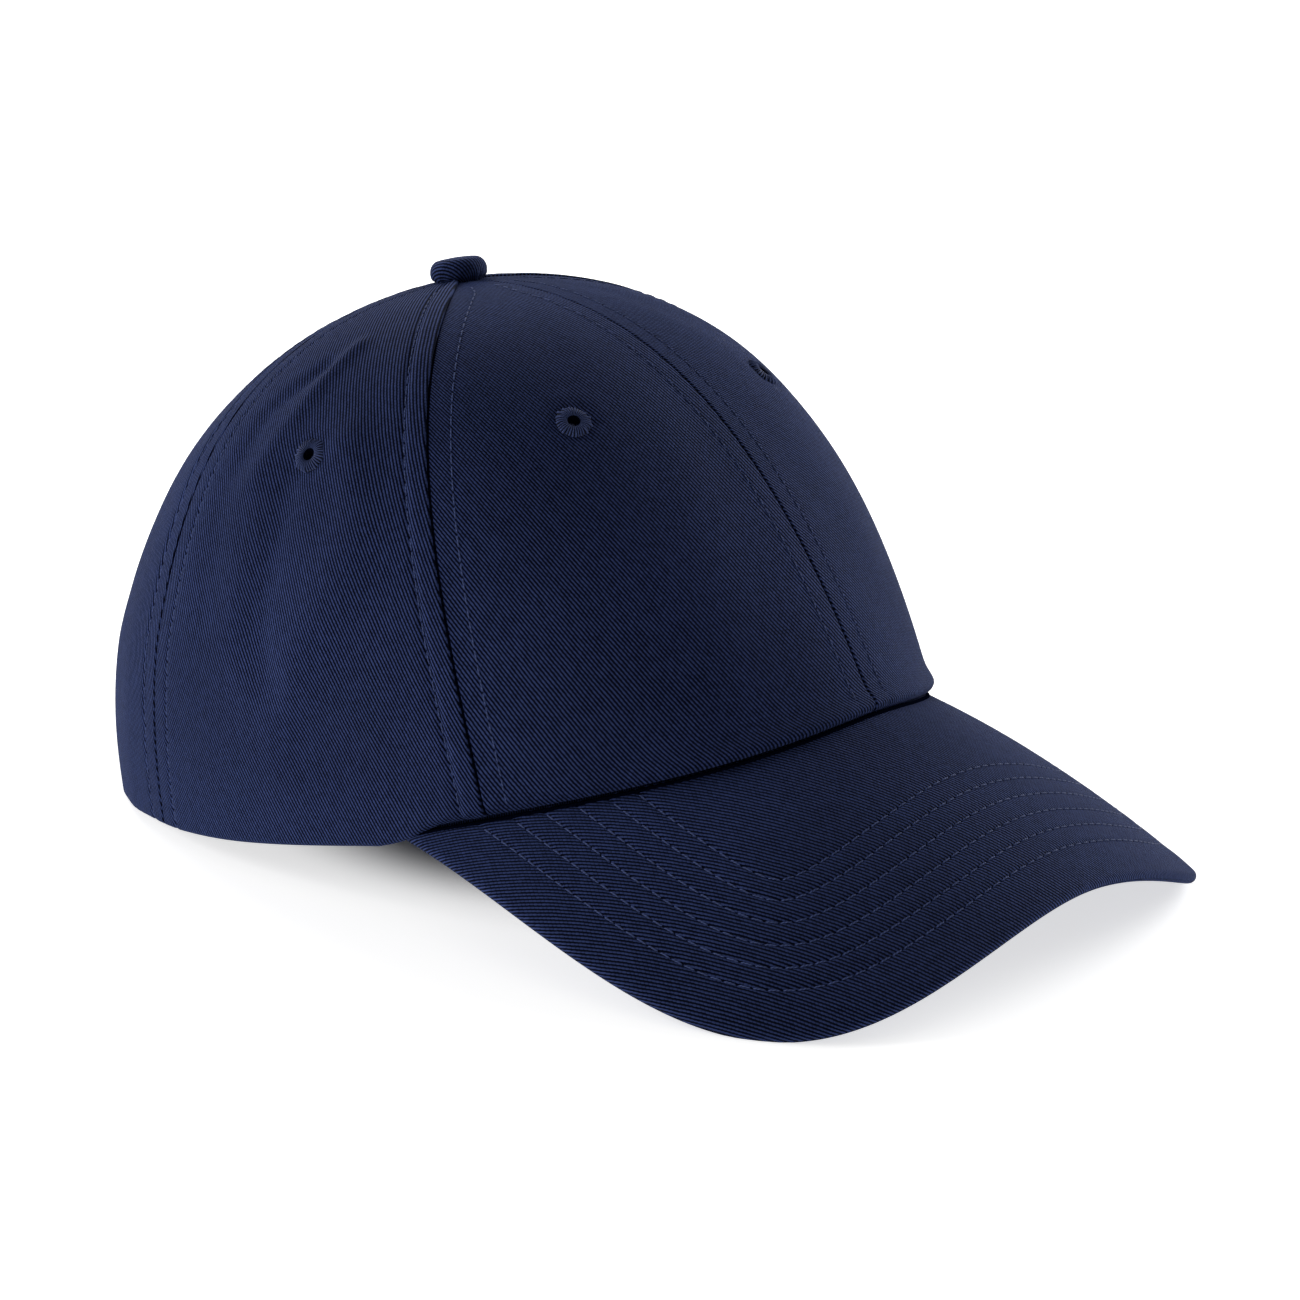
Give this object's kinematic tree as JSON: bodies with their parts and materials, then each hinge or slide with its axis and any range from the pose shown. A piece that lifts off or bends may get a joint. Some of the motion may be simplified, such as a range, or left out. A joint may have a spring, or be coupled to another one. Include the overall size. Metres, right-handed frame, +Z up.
{
  "type": "baseball cap",
  "caption": "Navy cotton twill baseball cap with a rounded crown of stitched panels, a curved visor, sewn eyelets, a covered button and an adjustable strap with a hinged cam buckle at the back.",
  "frame": {"origin": "bottom centre of the cap's bounding box, on the surface that the visor's side edges and the back hem stand on", "axes": "+Z up, -Y forwards along the visor, +X to the wearer's left; the crown is tipped back by 10.3 degrees, as a curved-visor cap stands"},
  "size_m": [0.183, 0.2661, 0.1341],
  "materials": {
    "navy_cotton_twill": "matt brushed cotton twill",
    "navy_thread": "soft sheen embroidery thread",
    "sweatband_cotton": "matt cotton",
    "seam_tape_cotton": "matt woven tape",
    "white_buckram": "stiff open-weave buckram",
    "visor_board_plastic": "satin polyethylene sheet",
    "antique_brass": "antiqued, satin",
    "zinc_plated_steel": "satin zinc plate",
    "label_satin": "woven satin, blank"
  },
  "bodies": {
    "cap": {"front_panel_left": "navy_cotton_twill", "front_panel_right": "navy_cotton_twill", "side_panel_left": "navy_cotton_twill", "side_panel_right": "navy_cotton_twill", "back_panel_left": "navy_cotton_twill", "back_panel_right": "navy_cotton_twill", "visor_top_cover": "navy_cotton_twill", "visor_under_cover": "navy_cotton_twill", "button_cover": "navy_cotton_twill", "opening_binding": "navy_cotton_twill", "buckle_tab": "navy_cotton_twill", "eyelet_front_left": "navy_thread", "eyelet_front_right": "navy_thread", "eyelet_side_left": "navy_thread", "eyelet_side_right": "navy_thread", "eyelet_back_left": "navy_thread", "eyelet_back_right": "navy_thread", "seam_tape_centre_front": "seam_tape_cotton", "seam_tape_front_left": "seam_tape_cotton", "seam_tape_front_right": "seam_tape_cotton", "seam_tape_back_left": "seam_tape_cotton", "seam_tape_back_right": "seam_tape_cotton", "seam_tape_centre_back": "seam_tape_cotton", "front_buckram_left": "white_buckram", "front_buckram_right": "white_buckram", "sweatband": "sweatband_cotton", "visor_board": "visor_board_plastic", "button_shell": "zinc_plated_steel", "button_back_cap": "zinc_plated_steel", "buckle_hinge_pin": "zinc_plated_steel", "buckle_frame": "antique_brass", "care_label": "label_satin"},
    "strap": {"closure_strap": "navy_cotton_twill"},
    "buckle_lever": {"buckle_lever": "antique_brass"}
  },
  "joints": [
    {"name": "lever_hinge", "type": "hinge", "parent": "cap", "child": "buckle_lever", "pos_m": [-0.02043, 0.12823, 0.0123], "axis": [0, -0.1785, -0.9839], "range_deg": [0, 105]},
    {"name": "strap_adjust", "type": "hinge", "parent": "cap", "child": "strap", "pos_m": [0, 0.04734, 0.02697], "axis": [0, 0.1785, 0.9839], "range_deg": [-7, 13]}
  ]
}
